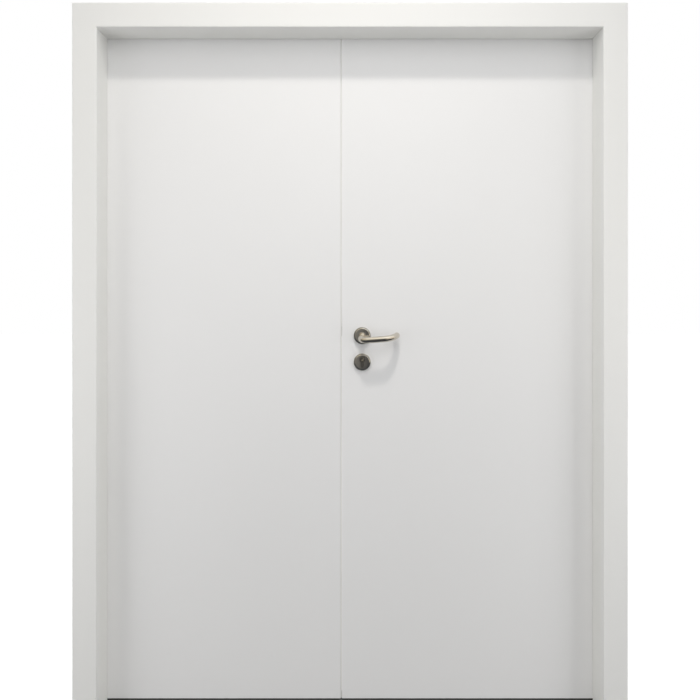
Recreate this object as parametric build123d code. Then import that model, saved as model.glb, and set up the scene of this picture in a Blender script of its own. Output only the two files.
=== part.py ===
from build123d import *
import os

# Interior double door with its frame: two flush leaves that swing away from the side with the deep recess.
# Millimetres. +X to the right seen from the recess side, +Y through the door towards the hinge side, +Z up.
# The origin is on the floor, midway between the jambs, at mid thickness of the closed leaves.

# ---- Frame ----
clear_width = 1436.0        # passage between the reveals
clear_height = 1961.0       # floor to the underside of the head lining
wall_thickness = 80.0       # the wall that the casings clasp
casing_width = 70.0         # face of the front casing
casing_thickness = 16.0
casing_round = 3.0
lining_thickness = 38.0
arris_round = 1.0
rebate_width = 15.0         # the leaf's edge hides this far behind the stop, less its running gap
tongue_thickness = 8.0      # tongue on the front casing, plugged into the lining
tongue_length = 16.0
tongue_inset = 12.0         # reveal face to the tongue
tongue_clearance = 0.2

# ---- Leaves ----
leaf_thickness = 40.0
leaf_setback = 2.0          # hinge-side leaf face behind the back casing's face
skin_thickness = 3.0
stile_width = 40.0
rail_height = 40.0
leaf_round = 1.0
side_gap = 3.5
top_gap = 4.0
floor_gap = 7.0
meeting_gap = 4.0
seam_offset = -26.0         # middle of the meeting gap from the middle of the door
stop_gap = 3.0              # stop face to leaf face, taken up by the seal

# ---- Seals ----
seal_groove_inset = 3.0
seal_groove_width = 4.0
seal_groove_depth = 8.0
seal_head_width = 8.0
seal_clearance = 0.3
seal_foot_clearance = 0.2
seal_round = 1.2
meeting_seal_thickness = 3.0
meeting_seal_depth = 6.0
meeting_seal_reach = 3.4

# ---- Hinges ----
hinge_top_inset = 237.0     # leaf's top to the middle of the upper hinge
hinge_foot_inset = 300.0    # leaf's foot to the middle of the lower hinge
hinge_length = 100.0
hinge_plate_depth = 28.0
hinge_plate_thickness = 3.0
knuckle_radius = 8.0
knuckle_clear = 1.0         # knuckle to the back casing's face
knuckle_play = 0.4          # axial play between knuckles
pin_radius = 4.0
running_fit = 0.05          # radial clearance of pins, plugs and journals
pin_head_height = 4.0
pin_head_round = 2.4

# ---- Screws, one kind throughout ----
screw_length = 22.0
screw_radius = 2.25
screw_head_radius = 4.25
screw_head_depth = 2.0
screw_clearance = 0.05
screw_point = 1.5
cross_length = 5.3
cross_width = 0.9
cross_depth = 1.4
hinge_screw_pitch = 36.0

# ---- Frame fixings ----
fixing_radius = 3.25
fixing_foot_insets = (150.0, 700.0)     # up from the floor
fixing_top_insets = (618.0, 68.0)       # down from the head's reveal
fixing_offset = 8.0         # in front of the leaf's mid plane

# ---- Mortise lock ----
lever_height = 1083.0
key_drop = 70.0             # spindle axis to key axis
backset = 60.0              # lock face to spindle axis
face_plate_height = 235.0
face_plate_width = 24.0
face_plate_thickness = 3.0
plate_corner = 3.0
case_depth = 95.0
case_thickness = 16.0
case_wall = 1.5
case_margin = 40.0          # case beyond the spindle and key axes
mortise_clearance = 0.5
face_screw_inset = 12.5
latch_throw = 12.0
latch_height = 28.0
latch_thickness = 12.0
latch_rise = 12.0           # latch's middle above the spindle axis
latch_bevel = 8.0
latch_shoulder = 1.0        # straight part between the bevel and the lock face
latch_tail_height = 5.0
latch_tail_end = 14.0       # beyond the spindle axis
latch_hook_height = 13.0    # spindle axis to the foot of the hook that the follower's arm draws
dead_throw = 20.0
dead_height = 22.0
dead_thickness = 12.0
dead_rise = 23.0            # dead bolt's middle above the key axis
dead_length = 41.0
dead_setback = 0.5          # drawn bolt's end inside the lock face
dead_chamfer = 0.5
bolt_clearance = 0.3
pocket_spare = 2.0          # beyond the thrown dead bolt's end
follower_radius = 12.0
follower_journal = 9.0
follower_arm = 19.5
follower_arm_width = 6.0
spindle_side = 8.0
spindle_clearance = 0.05
spindle_end_play = 1.0
lock_block_margin = 40.0    # wood above and below the case
lock_block_behind = 20.0    # wood behind the case

# ---- Cylinder, Euro profile ----
cylinder_radius = 8.5
cylinder_web = 10.0
cylinder_drop = 24.5        # plug axis to the foot of the profile
cylinder_stand = 10.0       # cylinder's end off the leaf's face
plug_radius = 6.5
keyway_width = 2.6
keyway_above = 3.6          # plug axis to the keyway's top
keyway_below = 5.4
keyway_depth = 25.0
cam_reach = 15.3
cam_width = 9.0
cam_slot = 10.0
cam_ring_radius = 8.0
cam_lobe_width = 7.0
cylinder_screw_radius = 2.5
cylinder_screw_drop = 20.0
cylinder_screw_sink = 2.5   # depth of its countersunk head
cylinder_slot_width = 1.0
cylinder_slot_depth = 1.2
profile_clearance = 0.3
profile_foot_flat = 0.1     # half the flat between the two rounds at the foot

# ---- Roses and escutcheons ----
rose_radius = 25.5
rose_height = 9.0
rose_wall = 1.2
rose_round = 2.5
base_clearance = 0.2
escutcheon_drop = 8.0       # key axis to the middle of its escutcheon

# ---- Lever handle ----
tube_radius = 9.0
grip_standoff = 50.0        # leaf face to the grip's axis
grip_drop = 12.0            # grip below the spindle axis at the neck
neck_lean = 6.0             # the neck leans this far towards the leaf's edge
grip_run = 88.5             # spindle axis to the corner that the outer bend rounds
grip_rise = 6.2             # the grip climbs this much to that corner
return_rise = 8.0           # and its returned end climbs this much more
return_splay = 14.0         # and leans out this far
return_gap = 12.0           # returned end to the leaf face
neck_bend = 16.0
return_bend = 50.0
end_round = 3.5
neck_radius = 8.5
collar_radius = 10.4
collar_height = 3.5
collar_round = 0.6
collar_clearance = 0.3
neck_start = 1.0            # neck's end off the leaf face
socket_depth = 20.0

# ---- Flush slide bolts in the left leaf's edge ----
slide_plate_height = 160.0
slide_plate_width = 20.0
slide_depth = 14.0          # leaf's edge to the rod's axis
slide_rod_radius = 5.0
slide_rod_chamfer = 1.0
slide_rod_room = 1.0        # round the rod in its mortise
slide_rod_length = 140.0
slide_throw = 18.0
slide_rest = 1.0            # rod's tip inside the leaf's end
slide_lug = 12.0
slide_lug_width = 14.0
slide_lug_wall = 2.0        # beyond the rod
slide_lug_insets = (10.0, 118.0)
slide_thumb_inset = 75.0
slide_thumb_height = 14.0
slide_thumb_width = 7.4
slide_thumb_recess = 0.4
slide_end_length = 34.0     # the plate's end folded over the leaf's end
slide_end_screw = 26.0      # leaf's edge to the screw in it
slide_screw_inset = 6.0
slide_mortise_width = 16.0
slide_mortise_behind = 8.0
keep_length = 60.0
keep_width = 20.0
keep_thickness = 2.5
keep_hole_radius = 5.5
keep_bore_depth = 18.0
keep_screw_offset = 21.0

# ---- Planes and lines that follow ----
half_clear = clear_width / 2
leaf_front = -leaf_thickness / 2
leaf_back = leaf_thickness / 2
back_face = leaf_back + leaf_setback
wall_back = back_face - casing_thickness
wall_front = wall_back - wall_thickness
front_face = wall_front - casing_thickness
stop_face = leaf_front - stop_gap
rebate_x = half_clear + rebate_width
rebate_z = clear_height + rebate_width
leaf_edge = rebate_x - side_gap
leaf_top = rebate_z - top_gap
left_meeting = seam_offset - meeting_gap / 2
right_meeting = seam_offset + meeting_gap / 2
hinge_heights = {"upper": leaf_top - hinge_top_inset, "lower": floor_gap + hinge_foot_inset}
fixing_heights = (*fixing_foot_insets, *(clear_height - inset for inset in fixing_top_insets))
pivot_x = rebate_x - side_gap / 2
pivot_y = back_face + knuckle_radius + knuckle_clear
spindle_x = right_meeting + backset
key_height = lever_height - key_drop
lock_middle = (lever_height + key_height) / 2
case_low = key_height - case_margin
case_high = lever_height + case_margin
cylinder_length = leaf_thickness + 2 * cylinder_stand
latch_middle = lever_height + latch_rise
dead_middle = key_height + dead_rise
slide_x = left_meeting - slide_depth
pocket_depth = dead_throw + pocket_spare
far = clear_width + clear_height
past = 1.0                  # how far a cutting shape runs past what it cuts
near = 0.01                 # closer than this counts as the same place


def block(x0, x1, y0, y1, z0, z1):
    """A box between two corners."""
    middle = Pos((x0 + x1) / 2, (y0 + y1) / 2, (z0 + z1) / 2)
    return middle * Box(abs(x1 - x0), abs(y1 - y0), abs(z1 - z0))


def rod_along_y(x, z, y0, y1, radius):
    """A round bar or hole square to the leaf."""
    return Pos(x, (y0 + y1) / 2, z) * Rot(90, 0, 0) * Cylinder(radius, abs(y1 - y0))


def rod_along_z(x, y, z0, z1, radius):
    """An upright round bar or hole."""
    return Pos(x, y, (z0 + z1) / 2) * Cylinder(radius, abs(z1 - z0))


def strip(reach0, reach1, y0, y1):
    """A rectangle of a frame section: reach is measured outwards from the reveal."""
    return Pos((reach0 + reach1) / 2, (y0 + y1) / 2) * Rectangle(reach1 - reach0, y1 - y0)


def round_corners(section, y, radius, reaches):
    """Rounds the section's corners that lie at depth y and at the given reaches."""
    chosen = [
        v for v in section.vertices()
        if abs(v.Y - y) < near and min(abs(v.X - r) for r in reaches) < near
    ]
    return fillet(chosen, radius)


# ---------------------------------------------------------------- frame


def head_wedge():
    """The space above both mitre planes: the head pieces lie in it and the jambs stay out."""
    half = half_clear + casing_width + far
    apex = clear_height - half_clear
    outline = Polyline((0, apex), (half, apex + half), (-half, apex + half), close=True)
    return extrude(Plane.XZ * make_face(outline), amount=far, both=True)


def jamb_and_head(section):
    """The right jamb and the head piece of one frame section, mitred where they meet."""
    wedge = head_wedge()
    jamb_plane = Plane(origin=(half_clear, 0, 0), x_dir=(1, 0, 0), z_dir=(0, 0, 1))
    jamb = extrude(jamb_plane * section, amount=clear_height + casing_width) - wedge
    reach = half_clear + casing_width
    head_plane = Plane(origin=(reach, 0, clear_height), x_dir=(0, 0, 1), z_dir=(-1, 0, 0))
    head = extrude(head_plane * section, amount=2 * reach) & wedge
    return jamb, head


def lining_section():
    """A jamb board: rebated for the leaf, grooved for the seal and for the casing's tongue."""
    board = strip(0, lining_thickness, wall_front, wall_back)
    board -= strip(0, rebate_width, stop_face, wall_back)
    board = round_corners(board, stop_face, arris_round, [0])
    groove_end = seal_groove_inset + seal_groove_width
    board -= strip(seal_groove_inset, groove_end, stop_face - seal_groove_depth, stop_face)
    board -= strip(
        tongue_inset - tongue_clearance,
        tongue_inset + tongue_thickness + tongue_clearance,
        wall_front,
        wall_front + tongue_length + tongue_clearance,
    )
    return board


def front_casing_section():
    """The wide casing on the recess side, with the tongue that plugs into the lining."""
    board = strip(0, casing_width, front_face, wall_front)
    board = round_corners(board, front_face, casing_round, [0, casing_width])
    tongue = strip(
        tongue_inset, tongue_inset + tongue_thickness, wall_front, wall_front + tongue_length
    )
    return board + tongue


def back_casing_section():
    """The casing on the hinge side, whose inner edge is the rebate's cheek."""
    board = strip(rebate_width, casing_width, wall_back, back_face)
    return round_corners(board, back_face, casing_round, [rebate_width, casing_width])


def frame_seal():
    """One soft strip pressed into the stop's groove, round both jambs and the head."""
    foot = strip(
        seal_groove_inset + seal_foot_clearance,
        seal_groove_inset + seal_groove_width - seal_foot_clearance,
        stop_face - seal_groove_depth + seal_foot_clearance,
        stop_face,
    )
    middle = seal_groove_inset + seal_groove_width / 2
    top = leaf_front - seal_clearance
    lip = strip(middle - seal_head_width / 2, middle + seal_head_width / 2, stop_face, top)
    lip = round_corners(
        lip, top, seal_round, [middle - seal_head_width / 2, middle + seal_head_width / 2]
    )
    jamb, head = jamb_and_head(foot + lip)
    return jamb + head + mirror(jamb, about=Plane.YZ)


def fixing_holes():
    """Holes through the right jamb for the screws that fix the frame to the wall."""
    return [
        Pos(half_clear + lining_thickness / 2, -fixing_offset, z)
        * Rot(0, 90, 0)
        * Cylinder(fixing_radius, 2 * lining_thickness)
        for z in fixing_heights
    ]


# ---------------------------------------------------------------- screws


def screw_shape(clearance=0.0):
    """A countersunk screw with its head's face at the origin, driven towards -Z."""
    head = Pos(0, 0, -screw_head_depth / 2) * Cone(
        screw_radius + clearance, screw_head_radius + clearance, screw_head_depth
    )
    body = Pos(0, 0, -screw_length / 2) * Cylinder(screw_radius + clearance, screw_length)
    return head + body


def cross_screw():
    """The screw with its cross recess and a bevelled point."""
    screw = screw_shape()
    point = screw.faces().sort_by(Axis.Z)[0]
    screw = chamfer(point.edges(), screw_point)
    slot = Pos(0, 0, -cross_depth / 2) * Box(cross_length, cross_width, cross_depth)
    return screw - slot - Rot(0, 0, 90) * slot


def driven(shape, x, y, z, facing):
    """Places a screw, or its hole, with its head facing the given way."""
    return Plane(origin=(x, y, z), z_dir=facing) * shape


SCREW = cross_screw()
SCREW_HOLE = screw_shape(screw_clearance)
LEFTWARDS = (-1, 0, 0)
RIGHTWARDS = (1, 0, 0)
UPWARDS = (0, 0, 1)
DOWNWARDS = (0, 0, -1)


# ---------------------------------------------------------------- hinges, right side


def hinge_thirds(z):
    """The three knuckles' heights, from the lowest, with the play between them."""
    low = z - hinge_length / 2
    third = hinge_length / 3
    return [
        (low, low + third - knuckle_play / 2),
        (low + third + knuckle_play / 2, low + 2 * third - knuckle_play / 2),
        (low + 2 * third + knuckle_play / 2, low + hinge_length),
    ]


def knuckles(x0, x1, y0, spans):
    """Barrel pieces with the webs that join them to the plate."""
    solid = Part()
    for low, high in spans:
        solid += block(x0, x1, y0, pivot_y, low, high)
        solid += rod_along_z(pivot_x, pivot_y, low, high, knuckle_radius)
    bore = rod_along_z(
        pivot_x, pivot_y, spans[0][0] - past, spans[-1][1] + past, pin_radius + running_fit
    )
    return solid - bore


def hinge_screw_heights(z):
    return (z - hinge_screw_pitch, z, z + hinge_screw_pitch)


def plate_front():
    """How far in from the hinge-side face the hinge plates reach."""
    return leaf_back - hinge_plate_depth


def hinge_screws(face_x, z, facing, shape):
    """The three screws of one hinge plate, or their holes."""
    y = (plate_front() + wall_back) / 2
    return [driven(shape, face_x, y, height, facing) for height in hinge_screw_heights(z)]


def frame_hinge(z):
    """The hinge half let into the jamb: a plate and the outer two knuckles."""
    outer = rebate_x + hinge_plate_thickness
    low, high = z - hinge_length / 2, z + hinge_length / 2
    plate = block(rebate_x, outer, plate_front(), back_face, low, high)
    spans = hinge_thirds(z)
    half = plate + knuckles(rebate_x, outer, back_face, [spans[0], spans[2]])
    for hole in hinge_screws(rebate_x, z, LEFTWARDS, SCREW_HOLE):
        half -= hole
    return half


def leaf_hinge(z):
    """The hinge half let into the leaf's edge: a plate and the middle knuckle."""
    inner = leaf_edge - hinge_plate_thickness
    low, high = z - hinge_length / 2, z + hinge_length / 2
    plate = block(inner, leaf_edge, plate_front(), leaf_back, low, high)
    half = plate + knuckles(inner, leaf_edge, leaf_back, [hinge_thirds(z)[1]])
    for hole in hinge_screws(leaf_edge, z, RIGHTWARDS, SCREW_HOLE):
        half -= hole
    return half


def hinge_pin(z):
    """A plain pin through all three knuckles, with a low domed head on top."""
    low, high = z - hinge_length / 2, z + hinge_length / 2
    head = rod_along_z(pivot_x, pivot_y, high, high + pin_head_height, knuckle_radius)
    head = fillet(head.edges().sort_by(Axis.Z)[-1], pin_head_round)
    return head + rod_along_z(pivot_x, pivot_y, low, high + pin_head_height / 2, pin_radius)


# ---------------------------------------------------------------- leaves


def skin(x0, x1, outer_y, inner_y):
    """A leaf's flat face sheet, its outer edges eased."""
    sheet = block(x0, x1, outer_y, inner_y, floor_gap, leaf_top)
    order = Axis.Y if outer_y > inner_y else Axis((0, 0, 0), (0, -1, 0))
    return fillet(sheet.faces().sort_by(order)[-1].edges(), leaf_round)


def leaf_bodies(x0, x1):
    """Skins, stiles, rails and core of a leaf between two upright edges."""
    front, back = leaf_front + skin_thickness, leaf_back - skin_thickness
    in0, in1 = x0 + stile_width, x1 - stile_width
    low_rail, high_rail = floor_gap + rail_height, leaf_top - rail_height
    rails = [
        block(in0, in1, front, back, floor_gap, low_rail),
        block(in0, in1, front, back, high_rail, leaf_top),
    ]
    return {
        "front_skin": skin(x0, x1, leaf_front, front),
        "back_skin": skin(x0, x1, leaf_back, back),
        "low_stile": block(x0, in0, front, back, floor_gap, leaf_top),
        "high_stile": block(in1, x1, front, back, floor_gap, leaf_top),
        "rails": rails,
        "core": block(in0, in1, front, back, low_rail, high_rail),
    }


# ---------------------------------------------------------------- lock


def edge_plate(x0, x1, width, z0, z1):
    """A flat plate let into a leaf's edge, with round ends."""
    plate = block(x0, x1, -width / 2, width / 2, z0, z1)
    return fillet(plate.edges().filter_by(Axis.X), plate_corner)


def latch_window(x0, x1):
    """The room the latch bolt passes through in a plate."""
    side = latch_thickness / 2 + bolt_clearance
    rise = latch_height / 2 + bolt_clearance
    return block(x0, x1, -side, side, latch_middle - rise, latch_middle + rise)


def dead_window(x0, x1):
    """The room the dead bolt passes through in a plate."""
    side = dead_thickness / 2 + bolt_clearance
    rise = dead_height / 2 + bolt_clearance
    return block(x0, x1, -side, side, dead_middle - rise, dead_middle + rise)


def lock_screw_heights():
    end = face_plate_height / 2 - face_screw_inset
    return (lock_middle - end, lock_middle + end)


def lock_faceplate():
    """The flat plate in the right leaf's edge that the lock case hangs from."""
    back = right_meeting + face_plate_thickness
    low, high = lock_middle - face_plate_height / 2, lock_middle + face_plate_height / 2
    plate = edge_plate(right_meeting, back, face_plate_width, low, high)
    plate -= latch_window(right_meeting - past, back + past)
    plate -= dead_window(right_meeting - past, back + past)
    for z in lock_screw_heights():
        plate -= driven(SCREW_HOLE, right_meeting, 0, z, LEFTWARDS)
    return plate


def strike_plate():
    """The plate in the left leaf's edge that the lock's bolts enter."""
    back = left_meeting - face_plate_thickness
    low, high = lock_middle - face_plate_height / 2, lock_middle + face_plate_height / 2
    plate = edge_plate(back, left_meeting, face_plate_width, low, high)
    plate -= latch_window(back - past, left_meeting + past)
    plate -= dead_window(back - past, left_meeting + past)
    for z in lock_screw_heights():
        plate -= driven(SCREW_HOLE, left_meeting, 0, z, RIGHTWARDS)
    return plate


def cylinder_profile(extra=0.0):
    """The pear-shaped Euro outline about the key axis, grown by a clearance."""
    web_half = cylinder_web / 2 + extra
    foot = -cylinder_drop - extra
    web = Pos(0, foot / 2) * Rectangle(2 * web_half, -foot)
    low = web.vertices().sort_by(Axis.Y)[:2]
    web = fillet(low, web_half - profile_foot_flat)
    return web + Circle(cylinder_radius + extra)


def cylinder_prism(y0, y1, extra=0.0):
    """The Euro outline carried through the leaf from one depth to another."""
    plane = Plane(origin=(spindle_x, y1, key_height), x_dir=(1, 0, 0), z_dir=(0, -1, 0))
    return extrude(plane * cylinder_profile(extra), amount=y1 - y0)


def lock_case():
    """The sheet-steel box in the mortise, open for the bolts, the follower and the cylinder."""
    x0 = right_meeting + face_plate_thickness
    x1 = x0 + case_depth
    half = case_thickness / 2
    case = block(x0, x1, -half, half, case_low, case_high)
    wall = case_wall
    case -= block(
        x0 + wall, x1 - wall, -half + wall, half - wall, case_low + wall, case_high - wall
    )
    case -= latch_window(x0 - past, x0 + wall + past)
    case -= dead_window(x0 - past, x0 + wall + past)
    case -= rod_along_y(
        spindle_x, lever_height, -half - past, half + past, follower_journal + running_fit
    )
    return case - cylinder_prism(-half - past, half + past, profile_clearance)


def lock_follower():
    """The hub the spindle turns: journals in the case walls and an arm that draws the latch."""
    inner = case_thickness / 2 - case_wall - bolt_clearance
    outer = case_thickness / 2
    hub = rod_along_y(spindle_x, lever_height, -inner, inner, follower_radius)
    hub += rod_along_y(spindle_x, lever_height, -outer, outer, follower_journal)
    arm_half = follower_arm_width / 2
    hub += block(
        spindle_x - arm_half, spindle_x + arm_half, -inner, inner,
        lever_height, lever_height + follower_arm,
    )
    side = spindle_side / 2 + spindle_clearance
    return hub - block(
        spindle_x - side, spindle_x + side, -outer - past, outer + past,
        lever_height - side, lever_height + side,
    )


def latch_bolt():
    """The sprung latch: a head bevelled towards the closing side, and its tail in the case."""
    half = latch_thickness / 2
    low, high = latch_middle - latch_height / 2, latch_middle + latch_height / 2
    tip = right_meeting - latch_throw
    root = right_meeting + face_plate_thickness + case_wall + bolt_clearance
    head = block(tip, root, -half, half, low, high)
    cut = Polyline(
        (tip, -half), (tip + latch_throw - latch_shoulder, -half), (tip, -half + latch_bevel), close=True
    )
    head -= extrude(Pos(0, 0, low) * make_face(cut), amount=latch_height)
    end = spindle_x + latch_tail_end
    tail = block(root, end, -half, half, high - latch_tail_height, high)
    hook = block(
        spindle_x + follower_arm_width / 2 + bolt_clearance, end, -half, half,
        lever_height + latch_hook_height, high,
    )
    return head + tail + hook


def dead_bolt():
    """The square bolt, drawn back flush with the lock face at rest."""
    half = dead_thickness / 2
    rise = dead_height / 2
    front = right_meeting + dead_setback
    bolt = block(front, front + dead_length, -half, half, dead_middle - rise, dead_middle + rise)
    return chamfer(bolt.faces().sort_by(Axis.X)[0].edges(), dead_chamfer)


# ---------------------------------------------------------------- cylinder


def cylinder_screw_hole(radius, x0, x1):
    z = key_height - cylinder_screw_drop
    return Pos((x0 + x1) / 2, 0, z) * Rot(0, 90, 0) * Cylinder(radius, x1 - x0)


def cylinder_body():
    """The brass body, bored for the plugs and cut away at mid length for the cam."""
    half = cylinder_length / 2
    body = cylinder_prism(-half, half)
    body -= rod_along_y(spindle_x, key_height, -half - past, half + past, plug_radius + running_fit)
    body -= block(
        spindle_x - cylinder_drop, spindle_x + cylinder_drop, -cam_slot / 2, cam_slot / 2,
        key_height - cam_reach - bolt_clearance, key_height + cylinder_drop,
    )
    return body - cylinder_screw_hole(
        cylinder_screw_radius + running_fit, spindle_x - cylinder_drop, spindle_x + cylinder_drop
    )


def cylinder_plug(side):
    """One turning plug, from the middle to its face, with its keyway."""
    face = side * cylinder_length / 2
    plug = rod_along_y(spindle_x, key_height, side * knuckle_play / 2, face, plug_radius)
    inner = face - side * keyway_depth
    keyway = block(
        spindle_x - keyway_width / 2, spindle_x + keyway_width / 2, face, inner,
        key_height - keyway_below, key_height + keyway_above,
    )
    return plug - keyway


def cylinder_cam():
    """The ring on the plugs' inner ends, with the lobe that drives the dead bolt."""
    half = cam_width / 2
    ring = rod_along_y(spindle_x, key_height, -half, half, cam_ring_radius)
    lobe = rod_along_y(spindle_x, key_height, -half, half, cam_reach)
    lobe &= block(
        spindle_x - cam_lobe_width / 2, spindle_x + cam_lobe_width / 2, -half, half,
        key_height - cam_reach, key_height,
    )
    bore = rod_along_y(spindle_x, key_height, -half - past, half + past, plug_radius + running_fit)
    return ring + lobe - bore


def cylinder_screw_head(clearance=0.0):
    """The countersunk head in the lock face, or its seat."""
    cone = Cone(
        cylinder_screw_radius + clearance, screw_head_radius + clearance, cylinder_screw_sink
    )
    z = key_height - cylinder_screw_drop
    return driven(Pos(0, 0, -cylinder_screw_sink / 2) * cone, right_meeting, 0, z, LEFTWARDS)


def cylinder_screw():
    """The long slotted screw through the lock face that holds the cylinder."""
    end = spindle_x + cylinder_web / 2
    shank = cylinder_screw_hole(cylinder_screw_radius, right_meeting, end)
    z = key_height - cylinder_screw_drop
    slot = block(
        right_meeting - past, right_meeting + cylinder_slot_depth,
        -screw_head_radius, screw_head_radius,
        z - cylinder_slot_width / 2, z + cylinder_slot_width / 2,
    )
    return shank + cylinder_screw_head() - slot


def cylinder_screw_room():
    """The countersunk hole for that screw in the face plate and the case."""
    return cylinder_screw_head(bolt_clearance) + cylinder_screw_hole(
        cylinder_screw_radius + bolt_clearance, right_meeting - past, spindle_x
    )


# ---------------------------------------------------------------- roses, escutcheons, levers


def on_front(shape, z):
    """Stands a shape made along +Z on the leaf's front face at the spindle line."""
    place = Plane(origin=(spindle_x, leaf_front, z), x_dir=(1, 0, 0), z_dir=(0, -1, 0))
    return place * shape


def to_back(shape):
    """The same shape on the other side of the leaf."""
    return mirror(shape, about=Plane.XZ)


def rose_cup():
    """A pressed steel cup with a rounded rim, open towards the leaf."""
    cup = Pos(0, 0, rose_height / 2) * Cylinder(rose_radius, rose_height)
    cup = fillet(cup.edges().sort_by(Axis.Z)[-1], rose_round)
    depth = rose_height - rose_wall
    return cup - Pos(0, 0, depth / 2) * Cylinder(rose_radius - rose_wall, depth)


def rose():
    """The lever's rose, bored for its neck."""
    return rose_cup() - Cylinder(neck_radius + collar_clearance, 4 * rose_height)


def escutcheon():
    """The cylinder's round escutcheon; the key axis lies above its middle."""
    hole = extrude(Pos(0, escutcheon_drop) * cylinder_profile(profile_clearance), amount=2 * rose_height)
    return rose_cup() - hole


def rose_base(bore):
    """The disc under a rose or an escutcheon that carries it."""
    height = rose_height - rose_wall - base_clearance
    disc = Pos(0, 0, height / 2) * Cylinder(rose_radius - rose_wall - base_clearance, height)
    return disc - bore


def rose_bases():
    """Four discs: under the two lever roses, whose necks run in them, and the two escutcheons."""
    journal = Cylinder(neck_radius + running_fit, 4 * rose_height)
    outline = Pos(0, escutcheon_drop) * cylinder_profile(profile_clearance)
    lever_base = on_front(rose_base(journal), lever_height)
    key_base = on_front(rose_base(extrude(outline, amount=2 * rose_height)), key_height - escutcheon_drop)
    return [lever_base, key_base, to_back(lever_base), to_back(key_base)]


def grip():
    """The bent bar of the lever in its own frame: +X along the grip, +Y up, +Z off the leaf."""
    start = neck_start + rose_height
    path = FilletPolyline(
        (0, 0, start),
        (-neck_lean, -grip_drop, grip_standoff),
        (grip_run, grip_rise - grip_drop, grip_standoff),
        (grip_run + return_splay, grip_rise - grip_drop + return_rise, return_gap),
        radius=[neck_bend, return_bend],
    )
    mouth = Plane(origin=path @ 0, z_dir=path % 0) * Circle(tube_radius)
    bar = sweep(mouth, path=path)
    end = bar.faces().sort_by_distance(path @ 1)[0]
    return fillet(end.edges(), end_round)


def lever():
    """The lever: neck through the rose, a collar over its mouth, and the bent grip."""
    top = neck_start + rose_height + collar_height
    neck = Pos(0, 0, (neck_start + top) / 2) * Cylinder(neck_radius, top - neck_start)
    low = rose_height + collar_clearance
    collar = Pos(0, 0, low + collar_height / 2) * Cylinder(collar_radius, collar_height)
    collar = fillet(collar.edges().sort_by(Axis.Z)[-1], collar_round)
    side = spindle_side + 2 * spindle_clearance
    below = Pos(0, 0, low / 2) * Cylinder(3 * tube_radius, low)
    socket = Pos(0, 0, socket_depth / 2) * Box(side, side, socket_depth)
    return (grip() - below) + neck + collar - socket


def spindle():
    """The square bar that joins both levers through the follower."""
    side = spindle_side / 2
    reach = -leaf_front + socket_depth - spindle_end_play
    return block(
        spindle_x - side, spindle_x + side, -reach, reach, lever_height - side, lever_height + side
    )


# ---------------------------------------------------------------- flush slide bolts


def slide_plate():
    """The top bolt's plate with the slot for its thumb piece and two guide lugs behind."""
    back = left_meeting - face_plate_thickness
    plate = slide_angle()
    thumb = leaf_top - slide_thumb_inset
    reach = slide_thumb_height / 2 + bolt_clearance
    side = slide_thumb_width / 2 + bolt_clearance
    plate -= block(
        back - past, left_meeting + past, -side, side, thumb - reach, thumb + reach + slide_throw
    )
    inner = slide_x - slide_rod_radius - slide_lug_wall
    half_lug = slide_lug_width / 2
    for inset in slide_lug_insets:
        top = leaf_top - inset
        plate += block(inner, back, -half_lug, half_lug, top - slide_lug, top)
    plate -= rod_along_z(
        slide_x, 0, leaf_top - slide_plate_height, leaf_top, slide_rod_radius + running_fit
    )
    for hole in slide_screws(SCREW_HOLE):
        plate -= hole
    return plate


def slide_angle():
    """The edge plate with its end folded over the leaf's top."""
    back = left_meeting - face_plate_thickness
    side = slide_plate_width / 2
    low = leaf_top - slide_plate_height
    plate = block(back, left_meeting, -side, side, low, leaf_top)
    plate = fillet(plate.faces().sort_by(Axis.Z)[0].edges().filter_by(Axis.X), plate_corner)
    return plate + block(
        left_meeting - slide_end_length, back, -side, side, leaf_top - face_plate_thickness, leaf_top
    )


def slide_screws(shape):
    """One screw at the foot of the edge plate and one down through its folded end."""
    low = leaf_top - slide_plate_height + slide_screw_inset
    return [
        driven(shape, left_meeting, 0, low, RIGHTWARDS),
        driven(shape, left_meeting - slide_end_screw, 0, leaf_top, UPWARDS),
    ]


def slide_rod():
    """The top bolt's rod with its thumb piece."""
    tip = leaf_top - slide_rest
    rod = rod_along_z(slide_x, 0, tip - slide_rod_length, tip, slide_rod_radius)
    rod = chamfer(rod.edges().sort_by(Axis.Z)[-1], slide_rod_chamfer)
    thumb = leaf_top - slide_thumb_inset
    side = slide_thumb_width / 2
    half = slide_thumb_height / 2
    return rod + block(
        slide_x, left_meeting - slide_thumb_recess, -side, side, thumb - half, thumb + half
    )


def slide_room():
    """The mortise for the top bolt in the left meeting stile."""
    back = left_meeting - face_plate_thickness
    side = slide_mortise_width / 2
    low = leaf_top - slide_plate_height + slide_mortise_behind
    room = slide_angle()
    inner = slide_x - slide_rod_radius - slide_lug_wall
    room += block(inner, back, -side, side, low, leaf_top - slide_mortise_behind)
    return room + rod_along_z(slide_x, 0, low, leaf_top, slide_rod_radius + slide_rod_room)


def flipped(shape):
    """The bottom bolt's counterpart: turned over about the leaf's mid height."""
    middle = (floor_gap + leaf_top) / 2
    return mirror(shape, about=Plane(origin=(0, 0, middle), z_dir=(0, 0, 1)))


def keep_screws(shape):
    return [
        driven(shape, slide_x + side * keep_screw_offset, 0, rebate_z, DOWNWARDS)
        for side in (-1, 1)
    ]


def keep_plate():
    """The plate in the head's rebate that the top bolt enters."""
    half = keep_length / 2
    side = keep_width / 2
    plate = block(slide_x - half, slide_x + half, -side, side, rebate_z, rebate_z + keep_thickness)
    plate -= rod_along_z(slide_x, 0, rebate_z - past, rebate_z + keep_thickness + past, keep_hole_radius)
    for hole in keep_screws(SCREW_HOLE):
        plate -= hole
    return plate


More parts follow.
